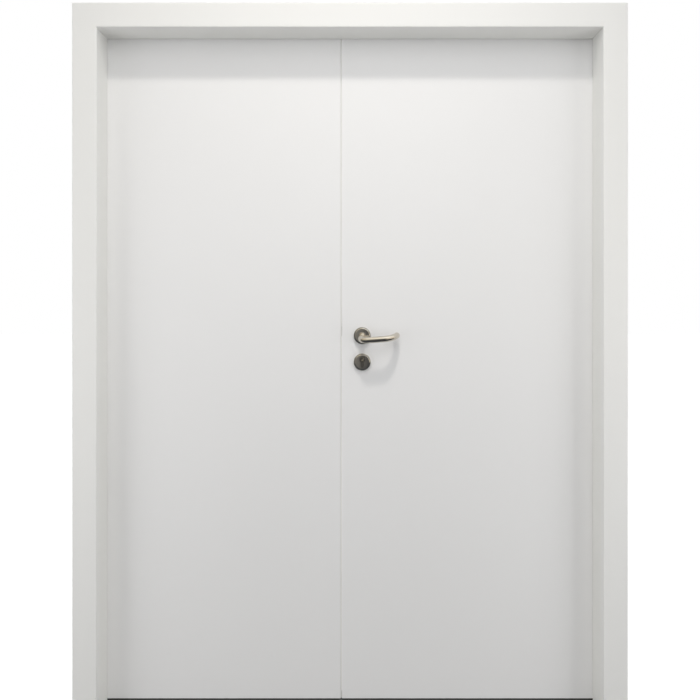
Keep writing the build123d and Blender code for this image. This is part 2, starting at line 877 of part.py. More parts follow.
def keep_room():
    """The pocket and bore for the keep in the head."""
    half = keep_length / 2
    side = keep_width / 2
    pocket = block(slide_x - half, slide_x + half, -side, side, rebate_z, rebate_z + keep_thickness)
    bore = rod_along_z(slide_x, 0, rebate_z, rebate_z + keep_bore_depth, keep_hole_radius)
    return pocket + bore


# ---------------------------------------------------------------- assembly of the wooden parts


def left(shape):
    """The left side's counterpart of a right-side piece."""
    return mirror(shape, about=Plane.YZ)


def group(shapes):
    """Separate like solids kept as one node."""
    solids = [s for shape in shapes for s in shape.solids()]
    return Compound(children=solids)


def frame_parts():
    """Linings, casings, seal, hinge halves, pins, keep and the screws in the frame."""
    jamb, head = jamb_and_head(lining_section())
    casing_jamb, casing_head = jamb_and_head(back_casing_section())
    front_jamb, front_head = jamb_and_head(front_casing_section())
    hinges = {name: frame_hinge(z) for name, z in hinge_heights.items()}
    screws = []
    for z in hinge_heights.values():
        low, high = z - hinge_length / 2, z + hinge_length / 2
        room = block(
            rebate_x, rebate_x + hinge_plate_thickness, plate_front(), back_face, low, high
        )
        jamb -= room
        casing_jamb -= room
        for hole in hinge_screws(rebate_x, z, LEFTWARDS, SCREW_HOLE):
            jamb -= hole
        screws += hinge_screws(rebate_x, z, LEFTWARDS, SCREW)
    for hole in fixing_holes():
        jamb -= hole
    head -= keep_room()
    casing_head -= keep_room()
    for hole in keep_screws(SCREW_HOLE):
        head -= hole
    pins = [hinge_pin(z) for z in hinge_heights.values()]
    parts = {
        "lining_right": jamb,
        "lining_left": left(jamb),
        "lining_head": head,
        "front_casing_right": front_jamb,
        "front_casing_left": left(front_jamb),
        "front_casing_head": front_head,
        "back_casing_right": casing_jamb,
        "back_casing_left": left(casing_jamb),
        "back_casing_head": casing_head,
        "frame_seal": frame_seal(),
        "hinge_pins": group(pins + [left(p) for p in pins]),
        "head_keep_plate": keep_plate(),
        "frame_screws": group(screws + [left(s) for s in screws] + keep_screws(SCREW)),
    }
    for name, half in hinges.items():
        parts[f"frame_hinge_right_{name}"] = half
        parts[f"frame_hinge_left_{name}"] = left(half)
    return parts


def hinged_stile(stile):
    """Cuts the hinge plates' seats and screw holes into the right leaf's hinge stile."""
    for z in hinge_heights.values():
        low, high = z - hinge_length / 2, z + hinge_length / 2
        inner = leaf_edge - hinge_plate_thickness
        stile -= block(inner, leaf_edge, plate_front(), leaf_back, low, high)
        for hole in hinge_screws(leaf_edge, z, RIGHTWARDS, SCREW_HOLE):
            stile -= hole
    return stile


def hinged_skin(sheet):
    """Cuts the hinge plates' seats through the hinge-side skin's edge."""
    for z in hinge_heights.values():
        low, high = z - hinge_length / 2, z + hinge_length / 2
        inner = leaf_edge - hinge_plate_thickness
        sheet -= block(inner, leaf_edge, plate_front(), leaf_back, low, high)
    return sheet


def right_leaf_parts():
    """The leaf with the lock."""
    leaf = leaf_bodies(right_meeting, leaf_edge)
    core, stile = leaf["core"], leaf["low_stile"]
    front, back = leaf_front + skin_thickness, leaf_back - skin_thickness
    block_start = right_meeting + stile_width
    block_end = right_meeting + face_plate_thickness + case_depth + lock_block_behind
    block_low, block_high = case_low - lock_block_margin, case_high + lock_block_margin
    lock_block = block(block_start, block_end, front, back, block_low, block_high)
    core -= lock_block
    gap = mortise_clearance
    side = case_thickness / 2 + gap
    case_back = right_meeting + face_plate_thickness + case_depth + gap
    mortise = block(right_meeting, case_back, -side, side, case_low - gap, case_high + gap)
    low, high = lock_middle - face_plate_height / 2, lock_middle + face_plate_height / 2
    plate_back = right_meeting + face_plate_thickness
    seat = edge_plate(right_meeting, plate_back, face_plate_width, low, high)
    stile -= mortise + seat
    screws = []
    for z in lock_screw_heights():
        stile -= driven(SCREW_HOLE, right_meeting, 0, z, LEFTWARDS)
        screws.append(driven(SCREW, right_meeting, 0, z, LEFTWARDS))
    through = rod_along_y(spindle_x, lever_height, leaf_front - past, leaf_back + past, follower_radius)
    through += cylinder_prism(leaf_front - past, leaf_back + past, mortise_clearance)
    lock_block -= mortise + through
    stile -= through
    hinge_screw_set = [
        screw for z in hinge_heights.values() for screw in hinge_screws(leaf_edge, z, RIGHTWARDS, SCREW)
    ]
    front_rose = on_front(rose(), lever_height)
    front_escutcheon = on_front(escutcheon(), key_height - escutcheon_drop)
    room = cylinder_screw_room()
    parts = {
        "right_front_skin": leaf["front_skin"] - through,
        "right_back_skin": hinged_skin(leaf["back_skin"]) - through,
        "right_core": core,
        "right_meeting_stile": stile,
        "right_hinge_stile": hinged_stile(leaf["high_stile"]),
        "right_rails": group(leaf["rails"]),
        "lock_block": lock_block,
        "right_leaf_screws": group(screws + hinge_screw_set),
        "lock_case": lock_case() - room,
        "lock_faceplate": lock_faceplate() - room,
        "rose_front": front_rose,
        "rose_back": to_back(front_rose),
        "escutcheon_front": front_escutcheon,
        "escutcheon_back": to_back(front_escutcheon),
        "rose_bases": group(rose_bases()),
        "cylinder_body": cylinder_body(),
        "cylinder_screw": cylinder_screw(),
    }
    for name, z in hinge_heights.items():
        parts[f"leaf_hinge_right_{name}"] = leaf_hinge(z)
    return parts


def lock_motion_parts():
    """The pieces that turn or slide on the right leaf."""
    front_lever = on_front(lever(), lever_height)
    return {
        "lever_front": front_lever,
        "lever_back": to_back(front_lever),
        "spindle": spindle(),
        "lock_follower": lock_follower(),
        "latch_bolt": latch_bolt(),
        "dead_bolt": dead_bolt(),
        "cylinder_plug_front": cylinder_plug(-1),
        "cylinder_plug_back": cylinder_plug(1),
        "cylinder_cam": cylinder_cam(),
    }


def meeting_seal_span(extra):
    front = leaf_front + skin_thickness + seal_foot_clearance - extra
    return front, front + meeting_seal_thickness + 2 * extra


def meeting_seal():
    """A soft strip in a groove of the left leaf's meeting edge."""
    y0, y1 = meeting_seal_span(0)
    inner = left_meeting - meeting_seal_depth + seal_foot_clearance
    tip = left_meeting + meeting_seal_reach
    strip_solid = block(inner, tip, y0, y1, floor_gap, leaf_top)
    outer = strip_solid.faces().sort_by(Axis.X)[-1].edges().filter_by(Axis.Z)
    return fillet(outer, seal_round)


def left_leaf_parts():
    """The leaf that stands bolted, with the strike, the seal and the flush bolts."""
    leaf = leaf_bodies(-leaf_edge, left_meeting)
    stile = leaf["high_stile"]
    low, high = lock_middle - face_plate_height / 2, lock_middle + face_plate_height / 2
    plate_back = left_meeting - face_plate_thickness
    stile -= edge_plate(plate_back, left_meeting, face_plate_width, low, high)
    stile -= latch_window(plate_back - pocket_depth, plate_back)
    stile -= dead_window(plate_back - pocket_depth, plate_back)
    y0, y1 = meeting_seal_span(seal_foot_clearance)
    stile -= block(left_meeting - meeting_seal_depth, left_meeting, y0, y1, 0, leaf_top + past)
    top_room = slide_room()
    stile -= top_room
    stile -= flipped(top_room)
    screws = [driven(SCREW, left_meeting, 0, z, RIGHTWARDS) for z in lock_screw_heights()]
    for z in lock_screw_heights():
        stile -= driven(SCREW_HOLE, left_meeting, 0, z, RIGHTWARDS)
    for screw in slide_screws(SCREW):
        screws += [screw, flipped(screw)]
    for hole in slide_screws(SCREW_HOLE):
        stile -= hole
        stile -= flipped(hole)
    for z in hinge_heights.values():
        screws += [left(s) for s in hinge_screws(leaf_edge, z, RIGHTWARDS, SCREW)]
    plate = slide_plate()
    parts = {
        "left_front_skin": leaf["front_skin"],
        "left_back_skin": left(hinged_skin(left(leaf["back_skin"]))),
        "left_core": leaf["core"],
        "left_meeting_stile": stile,
        "left_hinge_stile": left(hinged_stile(left(leaf["low_stile"]))),
        "left_rails": group(leaf["rails"]),
        "left_leaf_screws": group(screws),
        "strike_plate": strike_plate(),
        "meeting_seal": meeting_seal(),
        "top_bolt_plate": plate,
        "bottom_bolt_plate": flipped(plate),
        "top_bolt_rod": slide_rod(),
        "bottom_bolt_rod": flipped(slide_rod()),
    }
    for name, z in hinge_heights.items():
        parts[f"leaf_hinge_left_{name}"] = left(leaf_hinge(z))
    return parts


def write_parts():
    os.makedirs("parts", exist_ok=True)
    makers = (frame_parts, left_leaf_parts, right_leaf_parts, lock_motion_parts)
    for maker in makers:
        for node, shape in maker().items():
            export_step(shape, f"parts/{node}.step")


write_parts()
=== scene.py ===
import bpy
from math import pi, radians, tan
from mathutils import Matrix, Vector


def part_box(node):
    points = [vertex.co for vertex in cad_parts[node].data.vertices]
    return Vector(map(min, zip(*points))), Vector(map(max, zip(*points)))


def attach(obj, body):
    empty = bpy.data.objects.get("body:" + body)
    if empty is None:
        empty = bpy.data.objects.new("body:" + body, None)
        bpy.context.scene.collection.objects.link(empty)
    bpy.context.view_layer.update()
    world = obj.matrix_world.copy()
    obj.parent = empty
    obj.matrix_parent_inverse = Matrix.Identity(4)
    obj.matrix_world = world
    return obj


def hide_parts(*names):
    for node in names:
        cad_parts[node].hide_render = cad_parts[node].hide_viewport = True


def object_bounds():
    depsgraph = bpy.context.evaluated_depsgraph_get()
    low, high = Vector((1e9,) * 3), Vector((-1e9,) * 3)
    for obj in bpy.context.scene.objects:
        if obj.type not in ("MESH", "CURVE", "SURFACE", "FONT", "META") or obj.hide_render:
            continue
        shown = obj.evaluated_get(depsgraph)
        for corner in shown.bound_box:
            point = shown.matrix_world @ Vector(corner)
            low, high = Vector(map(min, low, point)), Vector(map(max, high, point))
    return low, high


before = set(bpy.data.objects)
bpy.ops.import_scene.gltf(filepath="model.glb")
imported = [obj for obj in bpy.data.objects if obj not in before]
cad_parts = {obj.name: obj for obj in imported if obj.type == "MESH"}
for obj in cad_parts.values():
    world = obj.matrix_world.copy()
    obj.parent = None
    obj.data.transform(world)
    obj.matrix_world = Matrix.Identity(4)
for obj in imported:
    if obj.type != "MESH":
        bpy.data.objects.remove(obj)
cad_box = [list(corner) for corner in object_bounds()]

# ---- Linings ----
# The jambs and the head are timber boards, sprayed with white satin lacquer over a smooth filler.
# They are rebated for the leaves, mitred at the corners and screwed to the wall behind the leaves.


def linear(code):
    """An sRGB hex colour as linear red, green, blue and alpha."""
    parts = [int(code[i:i + 2], 16) / 255 for i in (1, 3, 5)]
    return [p / 12.92 if p <= 0.04045 else ((p + 0.055) / 1.055) ** 2.4 for p in parts] + [1.0]


def add(tree, kind, inputs=(), **settings):
    """Adds a node with its settings, its values and its links from other nodes' outputs."""
    made = tree.nodes.new(kind)
    for name, value in settings.items():
        setattr(made, name, value)
    for name, value in dict(inputs).items():
        if isinstance(value, bpy.types.NodeSocket):
            tree.links.new(value, made.inputs[name])
        else:
            made.inputs[name].default_value = value
    return made


def surface(name):
    """An empty material with its node tree."""
    material = bpy.data.materials.new(name)
    material.use_nodes = True
    material.node_tree.nodes.clear()
    return material, material.node_tree


def close_surface(tree, shader):
    """Sends a finished shader to the material's output."""
    add(tree, "ShaderNodeOutputMaterial", {"Surface": shader})


def finish_nodes(material, *names):
    """Gives CAD nodes their material."""
    for name in names:
        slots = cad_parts[name].data.materials
        slots.clear()
        slots.append(material)


def sprayed_lacquer(name, colour, tint):
    """Satin white lacquer, sprayed: a faint orange peel breaks its sheen, and its tone varies a little."""
    material, tree = surface(name)
    place = add(tree, "ShaderNodeTexCoord").outputs["Object"]
    cloud = add(tree, "ShaderNodeTexNoise", {"Vector": place, "Scale": 3.0, "Detail": 3.0})
    film = add(
        tree, "ShaderNodeMix",
        {"Factor": cloud.outputs["Fac"], "A": linear(colour), "B": linear(tint)},
        data_type="RGBA",
    )
    # orange peel has cells of about 1.5 mm: 1 / 0.0015 m is a noise scale of about 650
    peel = add(tree, "ShaderNodeTexNoise", {"Vector": place, "Scale": 650.0, "Detail": 2.0})
    bump = add(
        tree, "ShaderNodeBump", {"Height": peel.outputs["Fac"], "Strength": 0.06, "Distance": 0.0002}
    )
    gloss = add(
        tree, "ShaderNodeMapRange",
        {"Value": cloud.outputs["Fac"], "To Min": 0.38, "To Max": 0.46},
    )
    shader = add(
        tree, "ShaderNodeBsdfPrincipled",
        {
            "Base Color": film.outputs["Result"], "Roughness": gloss.outputs["Result"],
            "Normal": bump.outputs["Normal"], "IOR": 1.5,
        },
    )
    close_surface(tree, shader.outputs["BSDF"])
    return material


lining_lacquer = sprayed_lacquer("lacquer_sprayed_on_lining", "#f0f0ed", "#eeeeeb")
finish_nodes(lining_lacquer, "lining_left", "lining_right", "lining_head")

# ---- Casings ----
# Mitred boards with eased edges clasp the wall on both sides, plugged and glued to the lining.
# They carry a sprayed lacquer like the lining's, a shade paler.
casing_lacquer = sprayed_lacquer("lacquer_sprayed_on_casing", "#f1f1ef", "#efefed")
finish_nodes(
    casing_lacquer,
    "front_casing_left", "front_casing_right", "front_casing_head",
    "back_casing_left", "back_casing_right", "back_casing_head",
)

# ---- Leaf skins ----
# Each leaf is faced with thin hardboard sheets, glued under pressure over its frame and core.
# Their edges are eased, and they are sprayed with a white a little cooler than the frame's.
skin_lacquer = sprayed_lacquer("lacquer_sprayed_on_leaf", "#f1f1f1", "#efefef")
finish_nodes(
    skin_lacquer, "left_front_skin", "left_back_skin", "right_front_skin", "right_back_skin"
)

# ---- Stiles and rails ----
# Softwood stiles and rails frame each leaf, glued together and then between the skins.
# Only their edges show, and those are sprayed with the leaf.
finish_nodes(
    skin_lacquer,
    "left_meeting_stile", "left_hinge_stile", "left_rails",
    "right_meeting_stile", "right_hinge_stile", "right_rails",
)

# ---- Cores ----
# A board of pressed chip fills each leaf between its stiles and rails, glued to both skins.
# It stays raw, with flat brown flakes along the board.


def pressed_chip(name):
    """Chipboard: pressed flakes of a few millimetres in mixed browns, dull and a little rough."""
    material, tree = surface(name)
    place = add(tree, "ShaderNodeTexCoord").outputs["Object"]
    # flakes about 6 mm long: 1 / 0.006 m is a cell scale of about 170
    flake = add(tree, "ShaderNodeTexVoronoi", {"Vector": place, "Scale": 170.0})
    tone = add(tree, "ShaderNodeValToRGB", {"Fac": flake.outputs["Color"]})
    tone.color_ramp.elements[0].color = linear("#8f6f47")
    tone.color_ramp.elements[1].color = linear("#c9a877")
    bump = add(
        tree, "ShaderNodeBump", {"Height": flake.outputs["Distance"], "Strength": 0.3, "Distance": 0.0005}
    )
    shader = add(
        tree, "ShaderNodeBsdfPrincipled",
        {"Base Color": tone.outputs["Color"], "Roughness": 0.8, "Normal": bump.outputs["Normal"]},
    )
    close_surface(tree, shader.outputs["BSDF"])
    return material


finish_nodes(pressed_chip("chipboard_pressed"), "left_core", "right_core")

# ---- Lock block ----
# A solid block of pine is glued into the right leaf's core, and the lock's pocket is cut into it.
# It stays raw and planed, with its grain upright.


def planed_pine(name):
    """Planed pine: pale yellow wood, with darker year rings drawn out along its upright grain."""
    material, tree = surface(name)
    place = add(tree, "ShaderNodeTexCoord").outputs["Object"]
    # year rings about 4 mm apart, 1 / 0.004 m is a noise scale of 250, run on for about 160 mm
    upright = add(tree, "ShaderNodeMapping", {"Vector": place, "Scale": (1.0, 1.0, 0.025)})
    rings = add(
        tree, "ShaderNodeTexNoise",
        {"Vector": upright.outputs["Vector"], "Scale": 250.0, "Detail": 2.0},
    )
    tone = add(
        tree, "ShaderNodeMix",
        {"Factor": rings.outputs["Fac"], "A": linear("#dcbf92"), "B": linear("#bd935f")},
        data_type="RGBA",
    )
    bump = add(
        tree, "ShaderNodeBump", {"Height": rings.outputs["Fac"], "Strength": 0.15, "Distance": 0.0003}
    )
    shader = add(
        tree, "ShaderNodeBsdfPrincipled",
        {"Base Color": tone.outputs["Result"], "Roughness": 0.6, "Normal": bump.outputs["Normal"]},
    )
    close_surface(tree, shader.outputs["BSDF"])
    return material


finish_nodes(planed_pine("pine_planed"), "lock_block")

# ---- Seals ----
# Soft strips of pale rubber, extruded, run round the frame's stop and down the left leaf's edge.
# Each is pressed into a groove by its foot, and its lip faces the leaf that closes on it.


def extruded_rubber(name):
    """White-grey sealing rubber, extruded: dull, with faint drawing lines."""
    material, tree = surface(name)
    place = add(tree, "ShaderNodeTexCoord").outputs["Object"]
    lines = add(tree, "ShaderNodeTexNoise", {"Vector": place, "Scale": 400.0, "Detail": 1.0})
    bump = add(
        tree, "ShaderNodeBump", {"Height": lines.outputs["Fac"], "Strength": 0.15, "Distance": 0.0002}
    )
    shader = add(
        tree, "ShaderNodeBsdfPrincipled",
        {"Base Color": linear("#efeeeb"), "Roughness": 0.65, "Normal": bump.outputs["Normal"]},
    )
    close_surface(tree, shader.outputs["BSDF"])
    return material


finish_nodes(extruded_rubber("rubber_extruded"), "frame_seal", "meeting_seal")

# ---- Hinges ----
# Butt hinges of stainless steel plate, brushed and rolled round plain pins.
# One flap is let in flush with the rebate, the other with the leaf's edge, three screws in each.


def brushed_steel(name, colour, rough, stretch):
    """Stainless steel, brushed: fine lines along one way spread the highlights across them."""
    material, tree = surface(name)
    place = add(tree, "ShaderNodeTexCoord").outputs["Object"]
    long = add(tree, "ShaderNodeMapping", {"Vector": place, "Scale": stretch})
    # the grit leaves lines of 0.1 mm, drawn at 0.3 mm so that they still show: a scale of 3300
    grain = add(
        tree, "ShaderNodeTexNoise",
        {"Vector": long.outputs["Vector"], "Scale": 3300.0, "Detail": 2.0},
    )
    bump = add(
        tree, "ShaderNodeBump", {"Height": grain.outputs["Fac"], "Strength": 0.05, "Distance": 0.0001}
    )
    dull = add(
        tree, "ShaderNodeMapRange",
        {"Value": grain.outputs["Fac"], "To Min": rough - 0.04, "To Max": rough + 0.06},
    )
    shader = add(
        tree, "ShaderNodeBsdfPrincipled",
        {
            "Base Color": linear(colour), "Metallic": 1.0, "Roughness": dull.outputs["Result"],
            "Normal": bump.outputs["Normal"],
        },
    )
    close_surface(tree, shader.outputs["BSDF"])
    return material


upright_brushed = brushed_steel("stainless_brushed_upright", "#c3c0b9", 0.3, (1.0, 1.0, 0.02))
finish_nodes(
    upright_brushed,
    "frame_hinge_left_upper", "frame_hinge_left_lower",
    "frame_hinge_right_upper", "frame_hinge_right_lower",
    "leaf_hinge_left_upper", "leaf_hinge_left_lower",
    "leaf_hinge_right_upper", "leaf_hinge_right_lower", "hinge_pins",
)

# ---- Screws ----
# Countersunk cross-head screws of cold-formed steel, plated with zinc, hold the hinges and plates.
# One long screw through the lock's face holds the cylinder.


def zinc_plate(name):
    """Steel with bright zinc plating: bluish silver with a soft cloudy sheen."""
    material, tree = surface(name)
    place = add(tree, "ShaderNodeTexCoord").outputs["Object"]
    cloud = add(tree, "ShaderNodeTexNoise", {"Vector": place, "Scale": 220.0, "Detail": 3.0})
    tone = add(
        tree, "ShaderNodeMix",
        {"Factor": cloud.outputs["Fac"], "A": linear("#b4b6b8"), "B": linear("#c6c5c0")},
        data_type="RGBA",
    )
    dull = add(
        tree, "ShaderNodeMapRange", {"Value": cloud.outputs["Fac"], "To Min": 0.26, "To Max": 0.42}
    )
    shader = add(
        tree, "ShaderNodeBsdfPrincipled",
        {"Base Color": tone.outputs["Result"], "Metallic": 1.0, "Roughness": dull.outputs["Result"]},
    )
    close_surface(tree, shader.outputs["BSDF"])
    return material


zinc = zinc_plate("steel_zinc_plated")
finish_nodes(zinc, "frame_screws", "left_leaf_screws", "right_leaf_screws", "cylinder_screw")

# ---- Lock case, bolts and plates ----
# A mortise lock in a folded case of plated steel, with its bolts, its follower and a square spindle.
# Its face, and the strike in the other leaf, are punched stainless plates, let in flush and screwed.
finish_nodes(zinc, "lock_case", "latch_bolt", "dead_bolt", "spindle", "lock_follower")
finish_nodes(upright_brushed, "lock_faceplate", "strike_plate")

# ---- Flush bolts ----
# Two bolts hold the left leaf, one in the head and one in the floor: each a round steel rod that
# slides by its thumb piece. Flat stainless plates in the leaf's edge guide them, and a third plate
# in the head takes the upper one.
finish_nodes(
    upright_brushed,
    "top_bolt_plate", "bottom_bolt_plate", "top_bolt_rod", "bottom_bolt_rod", "head_keep_plate",
)

# ---- Cylinder ----
# The body of a profile cylinder is brass, machined and nickel plated, bored for a plug at each end.
# The cam between the plugs throws the dead bolt.


def nickel_brass(name, colour):
    """Brass with matt nickel plating: a warm grey with a soft satin sheen."""
    material, tree = surface(name)
    place = add(tree, "ShaderNodeTexCoord").outputs["Object"]
    grain = add(tree, "ShaderNodeTexNoise", {"Vector": place, "Scale": 1500.0, "Detail": 2.0})
    dull = add(
        tree, "ShaderNodeMapRange", {"Value": grain.outputs["Fac"], "To Min": 0.16, "To Max": 0.24}
    )
    shader = add(
        tree, "ShaderNodeBsdfPrincipled",
        {"Base Color": linear(colour), "Metallic": 1.0, "Roughness": dull.outputs["Result"]},
    )
    close_surface(tree, shader.outputs["BSDF"])
    return material


# the body's nickel is a darker grey than the plugs': a painted shade that darkens the ring round each plug
finish_nodes(nickel_brass("brass_nickel_painted_shade", "#aaa7a1"), "cylinder_body", "cylinder_cam")

# ---- Rose bases ----
# Moulded discs on both faces of the leaf, one under each rose and escutcheon, which snap over them.
# The levers' necks turn in the upper ones, and the cylinder passes through the lower ones.


def moulded_plastic(name, colour):
    """Glass-filled nylon, moulded: nearly black and dull."""
    material, tree = surface(name)
    place = add(tree, "ShaderNodeTexCoord").outputs["Object"]
    grain = add(tree, "ShaderNodeTexNoise", {"Vector": place, "Scale": 900.0, "Detail": 2.0})
    bump = add(
        tree, "ShaderNodeBump", {"Height": grain.outputs["Fac"], "Strength": 0.2, "Distance": 0.0002}
    )
    shader = add(
        tree, "ShaderNodeBsdfPrincipled",
        {"Base Color": linear(colour), "Roughness": 0.55, "Normal": bump.outputs["Normal"]},
    )
    close_surface(tree, shader.outputs["BSDF"])
    return material


finish_nodes(moulded_plastic("nylon_moulded", "#2a2a2a"), "rose_bases")

# ---- Roses ----
# Stainless cups, pressed with a sloped rim and brushed, snap over their bases on both faces.
# A round hole in the middle lets the lever's neck through.
MM = 0.001
hair = 0.01 * MM  # the slack within which a point lies on a plane or a circle
rose_steel = brushed_steel("stainless_brushed_rose", "#d8d5ce", 0.16, (1.0, 1.0, 0.02))
rose_rim = 4.6 * MM
rose_slope = 2.6 * MM
rose_ease = 0.8 * MM
rose_wall = 1.2 * MM
rose_dome = 0.5 * MM
dome_rings = 8
neck_hole = 8.8 * MM


def start_piece():
    """Leaves edit mode with nothing selected, so that the next primitive stands alone."""
    if bpy.context.mode != "OBJECT":
        bpy.ops.object.mode_set(mode="OBJECT")
    bpy.ops.object.select_all(action="DESELECT")


def pick(piece, kind, test):
    """In edit mode, selects only the vertices, edges or faces that pass a test."""
    bpy.ops.mesh.select_mode(type=kind)
    bpy.ops.mesh.select_all(action="DESELECT")
    bpy.ops.object.mode_set(mode="OBJECT")
    mesh = piece.data
    group = {"VERT": mesh.vertices, "EDGE": mesh.edges, "FACE": mesh.polygons}[kind]
    for part in group:
        if kind == "VERT":
            part.select = test(part.co)
        elif kind == "EDGE":
            part.select = all(test(mesh.vertices[v].co) for v in part.vertices)
        else:
            part.select = test(part)
    bpy.ops.object.mode_set(mode="EDIT")


def apply_modifier(piece, kind, **settings):
    """Adds a modifier with its settings and applies it."""
    bpy.context.view_layer.objects.active = piece
    made = piece.modifiers.new(kind.lower(), kind)
    for name, value in settings.items():
        setattr(made, name, value)
    bpy.ops.object.modifier_apply(modifier=made.name)


def close_mesh(piece):
    """Merges a mesh's doubled points and turns its faces outwards."""
    start_piece()
    bpy.context.view_layer.objects.active = piece
    piece.select_set(True)
    bpy.ops.object.mode_set(mode="EDIT")
    bpy.ops.mesh.select_all(action="SELECT")
    bpy.ops.mesh.remove_doubles(threshold=hair)
    bpy.ops.mesh.normals_make_consistent(inside=False)
    bpy.ops.object.mode_set(mode="OBJECT")


def settle(piece):
    """Closes a finished piece's mesh, puts its place into it and shades its curves smooth."""
    close_mesh(piece)
    bpy.ops.object.transform_apply(location=True, rotation=True, scale=True)
    bpy.ops.object.shade_smooth_by_angle(angle=radians(35))


def far_side(piece, name):
    """A mirrored copy of a piece, on the other face of the leaf, which lies about y = 0."""
    copy = piece.copy()
    copy.data = piece.data.copy()
    copy.name = name
    bpy.context.scene.collection.objects.link(copy)
    copy.data.transform(Matrix.Scale(-1.0, 4, Vector((0.0, 1.0, 0.0))))
    settle(copy)
    return copy


def rose_cup(name, node, hole):
    """A round cup over a CAD rose's place: a sloped rim with eased edges round a face barely domed."""
    corner, other = (Vector(c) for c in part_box(node))
    centre = (corner + other) / 2
    radius = (other.x - corner.x) / 2
    depth = other.y - corner.y - rose_dome - rose_slope
    centre.y = other.y - depth / 2
    start_piece()
    bpy.ops.mesh.primitive_cylinder_add(
        vertices=96, radius=radius, depth=depth, location=centre, rotation=(pi / 2, 0.0, 0.0)
    )
    cup = bpy.context.object
    cup.name = name
    bpy.ops.object.transform_apply(location=True, rotation=True, scale=True)
    bpy.ops.object.mode_set(mode="EDIT")
    pick(cup, "FACE", lambda f: f.normal.y < -0.9 and len(f.vertices) > 8)
    bpy.ops.mesh.inset(thickness=rose_rim, depth=rose_slope)
    wall = other.y - depth
    pick(cup, "EDGE", lambda co: abs(co.y - wall) < hair)
    bpy.ops.mesh.bevel(offset=2 * rose_ease, segments=6, profile=0.5)
    pick(cup, "EDGE", lambda co: co.y < wall - rose_slope + hair)
    bpy.ops.mesh.bevel(offset=rose_ease, segments=5, profile=0.5)
    pick(cup, "FACE", lambda f: f.normal.y < -0.9 and len(f.vertices) > 8)
    step = (radius - rose_rim - rose_ease - hole) / dome_rings
    for ring in range(dome_rings):
        rise = rose_dome * (2 * (dome_rings - ring) - 1) / dome_rings ** 2
        bpy.ops.mesh.inset(thickness=step, depth=rise)
    bpy.ops.mesh.delete(type="FACE")
    pick(cup, "FACE", lambda f: f.normal.y > 0.9)
    bpy.ops.mesh.delete(type="FACE")
    bpy.ops.mesh.select_all(action="SELECT")
    bpy.ops.mesh.normals_make_consistent(inside=False)
    bpy.ops.object.mode_set(mode="OBJECT")
    apply_modifier(cup, "SOLIDIFY", thickness=rose_wall, offset=-1.0, use_even_offset=True)
    close_mesh(cup)
    return cup


rose = rose_cup("rose_cup_front", "rose_front", neck_hole)
settle(rose)
rose.data.materials.append(rose_steel)
rose_far = far_side(rose, "rose_cup_back")
for piece, node in ((rose, "rose_front"), (rose_far, "rose_back")):
    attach(piece, "right_leaf")
    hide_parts(node)

# ---- Cylinder escutcheons ----
# The same pressed cup covers the base below each rose, with a pear-shaped hole punched through.
# The profile cylinder stands in the hole, clear of it all round.
cylinder_low, cylinder_high = (Vector(c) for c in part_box("cylinder_body"))
plug_low, plug_high = (Vector(c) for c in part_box("cylinder_plug_front"))
key_x = (plug_low.x + plug_high.x) / 2
key_z = (plug_low.z + plug_high.z) / 2
hole_room = 0.3 * MM
barrel = (cylinder_high.x - cylinder_low.x) / 2 + hole_room
web = 5.0 * MM + hole_room
foot = cylinder_low.z - hole_room
first_hole = 3.0 * MM  # the pressed cup's own hole, which the pear-shaped one takes in


def pear_cutter(y0, y1):
    """A pear-shaped bar: a round barrel joined with a web that ends in a half round."""
    start_piece()
    bpy.ops.mesh.primitive_cylinder_add(
        vertices=64, radius=barrel, depth=y1 - y0,
        location=(key_x, (y0 + y1) / 2, key_z), rotation=(pi / 2, 0.0, 0.0),
    )
    bar = bpy.context.object
    bpy.ops.object.transform_apply(location=True, rotation=True, scale=True)
    start_piece()
    bpy.ops.mesh.primitive_cube_add(size=1.0, location=(key_x, (y0 + y1) / 2, (key_z + foot) / 2))
    blade = bpy.context.object
    blade.scale = (2 * web, y1 - y0, key_z - foot)
    bpy.ops.object.transform_apply(location=True, rotation=True, scale=True)
    bpy.ops.object.mode_set(mode="EDIT")
    for side in (-1, 1):
        pick(blade, "EDGE", lambda co: co.z < foot + hair and (co.x - key_x) * side > 0.5 * web)
        bpy.ops.mesh.bevel(offset=0.95 * web, segments=8, profile=0.5)
    bpy.ops.object.mode_set(mode="OBJECT")
    apply_modifier(bar, "BOOLEAN", operation="UNION", object=blade, solver="EXACT")
    bpy.data.objects.remove(blade)
    return bar


shield = rose_cup("escutcheon_cup_front", "escutcheon_front", first_hole)
# the punch reaches from before the cup to the middle of the leaf
punch = pear_cutter(cylinder_low.y - 5.0 * MM, 0.0)
apply_modifier(shield, "BOOLEAN", operation="DIFFERENCE", object=punch, solver="EXACT")
bpy.data.objects.remove(punch)
settle(shield)
shield.data.materials.append(rose_steel)
shield_far = far_side(shield, "escutcheon_cup_back")
for piece, node in ((shield, "escutcheon_front"), (shield_far, "escutcheon_back")):
    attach(piece, "right_leaf")
    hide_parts(node)

# ---- Cylinder plugs ----
# Turned brass plugs, nickel plated: each turns in the cylinder's barrel when its key turns.
# A groove rings the end, and its middle is dished towards the upright keyway.
# the plugs' nickel is paler and warmer than the body's: a painted highlight that brightens the dished
# middle
plug_nickel_painted_highlight = nickel_brass("nickel_plug_painted_highlight", "#e4ddcf")
plug_edge = 0.2 * MM
groove = 0.75 * MM
groove_depth = 3.4 * MM
groove_return = 3.2 * MM
land = 0.15 * MM
keyway_low, keyway_high = key_z - 5.4 * MM, key_z + 3.6 * MM
keyway_width = 2.6 * MM
keyway_depth = 25.0 * MM
start_piece()
bpy.ops.mesh.primitive_cylinder_add(
    vertices=72, radius=(plug_high.x - plug_low.x) / 2, depth=plug_high.y - plug_low.y,
    location=(plug_low + plug_high) / 2, rotation=(pi / 2, 0.0, 0.0),
)
plug = bpy.context.object
plug.name = "plug_turned_front"
bpy.ops.object.transform_apply(location=True, rotation=True, scale=True)
bpy.ops.object.mode_set(mode="EDIT")
